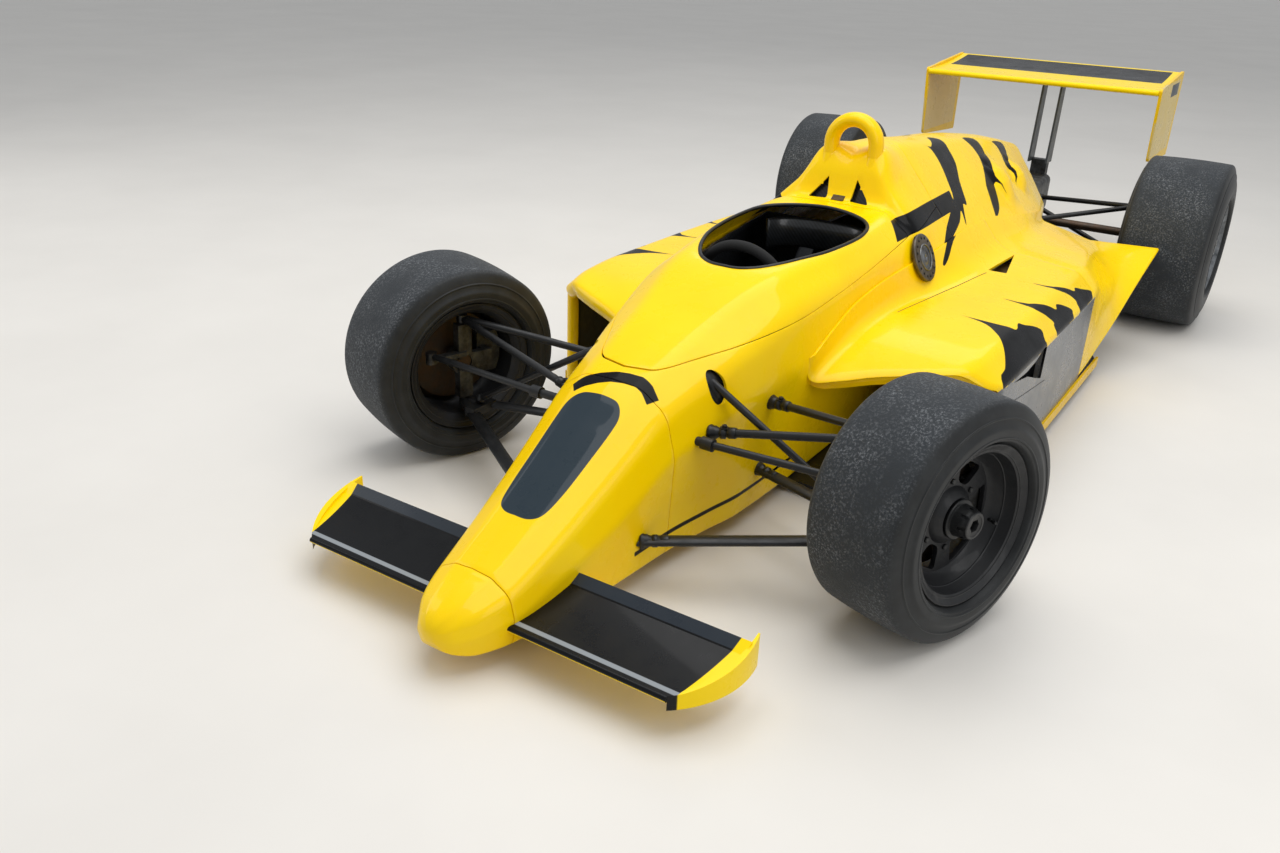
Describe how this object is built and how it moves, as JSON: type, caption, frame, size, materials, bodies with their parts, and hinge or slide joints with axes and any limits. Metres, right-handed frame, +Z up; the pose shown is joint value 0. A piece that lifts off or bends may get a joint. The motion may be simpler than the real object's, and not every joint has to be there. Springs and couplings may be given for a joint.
{
  "type": "open wheel racing car",
  "caption": "Single-seat open wheel racing car with slick tyres, front and rear wings, side pods and a hollow cockpit; its wheels turn and its front wheels steer.",
  "frame": {"origin": "centre of the car's footprint box, on the ground under the tyres", "axes": "+Z up, nose along -Y, the driver's left side along +X"},
  "size_m": [1.8438, 4.435, 0.9149],
  "materials": {
    "body_yellow": "gloss",
    "wing_black": "gloss",
    "plate_yellow": "gloss",
    "floor_black": "satin",
    "post_grey": "satin",
    "cast_alloy": "cast",
    "radiator_alloy": "satin",
    "lamp_red": "gloss",
    "filler_grey": "brushed",
    "seat_black": "matte",
    "dash_black": "matte",
    "arm_black": "satin",
    "wheel_suede": "suede",
    "column_steel": "satin",
    "disc_iron": "turned",
    "rim_black": "satin",
    "rim_silver": "satin",
    "tyre_rubber": "worn slick"
  },
  "bodies": {
    "chassis": {"nose_tip": "body_yellow", "nose_cone": "body_yellow", "monocoque": "body_yellow", "cockpit_cowl": "body_yellow", "headrest_fairing": "body_yellow", "roll_hoop": "body_yellow", "engine_cover": "body_yellow", "sidepod_left": "body_yellow", "sidepod_right": "body_yellow", "tail_deck_left": "body_yellow", "tail_deck_right": "body_yellow", "floor": "floor_black", "front_wing_left": "wing_black", "front_wing_right": "wing_black", "rear_wing": "wing_black", "rear_end_plates": "plate_yellow", "wing_posts": "post_grey", "engine_block": "cast_alloy", "gearbox": "cast_alloy", "radiators": "radiator_alloy", "rear_lamp": "lamp_red", "fuel_filler": "filler_grey", "seat": "seat_black", "dash_panel": "dash_black", "upper_wishbones": "arm_black", "lower_wishbones": "arm_black", "front_push_rods": "arm_black", "rear_wishbones": "arm_black", "rear_uprights": "cast_alloy"},
    "steering": {"steering_wheel": "wheel_suede", "steering_column": "column_steel"},
    "rack": {"steering_rack": "arm_black"},
    "knuckle_left": {"upright_front_left": "cast_alloy"},
    "wheel_front_left": {"hub_front_left": "disc_iron", "rim_front_left": "rim_black", "tyre_front_left": "tyre_rubber"},
    "wheel_rear_left": {"hub_rear_left": "disc_iron", "rim_rear_left": "rim_silver", "tyre_rear_left": "tyre_rubber"},
    "knuckle_right": {"upright_front_right": "cast_alloy"},
    "wheel_front_right": {"hub_front_right": "disc_iron", "rim_front_right": "rim_black", "tyre_front_right": "tyre_rubber"},
    "wheel_rear_right": {"hub_rear_right": "disc_iron", "rim_rear_right": "rim_silver", "tyre_rear_right": "tyre_rubber"}
  },
  "joints": [
    {"name": "steering_turn", "type": "hinge", "parent": "chassis", "child": "steering", "pos_m": [0, -0.9795, 0.52], "axis": [0, 0.9703, 0.2419], "range_deg": [-13.5, 346.5]},
    {"name": "rack_travel", "type": "slide", "parent": "chassis", "child": "rack", "axis": [1, 0, 0], "range_m": [-0.003, 0.07151]},
    {"name": "kingpin_left", "type": "hinge", "parent": "chassis", "child": "knuckle_left", "pos_m": [0.64962, -1.3875, 0.27786], "axis": [0, 0, 1], "range_deg": [-1.6, 38.6]},
    {"name": "kingpin_right", "type": "hinge", "parent": "chassis", "child": "knuckle_right", "pos_m": [-0.64962, -1.3875, 0.27786], "axis": [0, 0, 1], "range_deg": [-1.6, 38.6]},
    {"name": "front_spin_left", "type": "hinge", "parent": "knuckle_left", "child": "wheel_front_left", "pos_m": [0.716, -1.40971, 0.27786], "axis": [0.9476, -0.317, 0.0401], "continuous": true},
    {"name": "front_spin_right", "type": "hinge", "parent": "knuckle_right", "child": "wheel_front_right", "pos_m": [-0.716, -1.36529, 0.27786], "axis": [-0.9476, 0.317, 0.0401], "continuous": true},
    {"name": "rear_spin_left", "type": "hinge", "parent": "chassis", "child": "wheel_rear_left", "pos_m": [0.747, 1.3025, 0.323], "axis": [1, 0, 0], "continuous": true},
    {"name": "rear_spin_right", "type": "hinge", "parent": "chassis", "child": "wheel_rear_right", "pos_m": [-0.747, 1.3025, 0.323], "axis": [-1, 0, 0], "continuous": true}
  ],
  "couplings": [
    {"joint": "kingpin_left", "follows": "steering_turn", "ratio": 0.11111},
    {"joint": "kingpin_right", "follows": "steering_turn", "ratio": 0.11111},
    {"joint": "rack_travel", "follows": "steering_turn", "m_per_rad": 0.011775}
  ]
}
